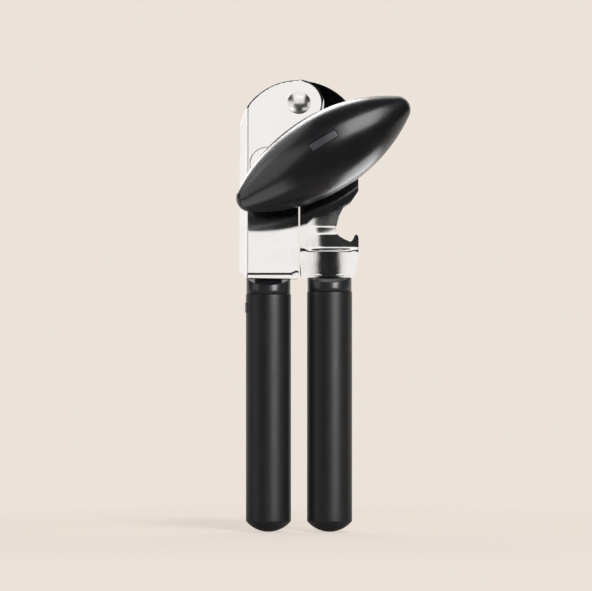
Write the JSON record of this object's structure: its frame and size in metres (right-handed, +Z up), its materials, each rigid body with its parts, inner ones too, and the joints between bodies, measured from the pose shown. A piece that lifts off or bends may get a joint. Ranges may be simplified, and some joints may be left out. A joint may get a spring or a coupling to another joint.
{
  "type": "manual can opener",
  "caption": "Two-handled can opener: pivoting steel arms with a free cutting disc, a toothed feed wheel turned by a large oval knob, a cap lifter and soft round handles.",
  "frame": {"origin": "on the ground, at the centre of the outline seen from above, with the opener standing on its handle ends", "axes": "+Z up along the handles, -Y towards the side of the knob, +X to the right of someone facing the knob"},
  "size_m": [0.0696, 0.0429, 0.1816],
  "materials": {
    "polished_steel": "polished",
    "rivet_steel": "satin",
    "wheel_steel": "ground",
    "bushing_brass": "satin",
    "nylon": "matte",
    "hard_black": "satin",
    "soft_grip": "matte",
    "knob_plastic": "gloss"
  },
  "bodies": {
    "left_side": {"left_arm": "polished_steel", "left_handle_core": "hard_black", "left_handle_grip": "soft_grip", "left_collar": "hard_black", "left_tang_pin": "rivet_steel", "left_grip_pad": "hard_black", "pivot_rivet": "rivet_steel", "pivot_back_washer": "rivet_steel", "cutter_stud": "rivet_steel", "cutter_screw": "rivet_steel", "cutter_spring_washer": "rivet_steel"},
    "right_side": {"right_arm": "polished_steel", "right_handle_core": "hard_black", "right_handle_grip": "soft_grip", "right_collar": "hard_black", "right_tang_pin": "rivet_steel", "pivot_wear_shim": "nylon", "drive_bushing": "bushing_brass", "drive_thrust_washer": "nylon"},
    "knob_drive": {"drive_shaft": "rivet_steel", "feed_wheel": "wheel_steel", "feed_wheel_washer": "rivet_steel", "knob_base": "knob_plastic", "knob_cover": "knob_plastic", "knob_plug": "knob_plastic", "knob_screw": "rivet_steel"},
    "cutter": {"cutter_wheel": "wheel_steel", "cutter_bushing": "bushing_brass"}
  },
  "joints": [
    {"name": "arm_pivot", "type": "hinge", "parent": "left_side", "child": "right_side", "pos_m": [-0.0098, 0.01471, 0.172], "axis": [0, -0.9511, 0.309], "range_deg": [0, 50]},
    {"name": "knob_turn", "type": "hinge", "parent": "right_side", "child": "knob_drive", "pos_m": [0, 0.00668, 0.14727], "axis": [0, -0.9511, 0.309], "continuous": true},
    {"name": "cutter_spin", "type": "hinge", "parent": "left_side", "child": "cutter", "pos_m": [-0.0224, 0.00668, 0.14727], "axis": [0, -0.9511, 0.309], "continuous": true}
  ]
}
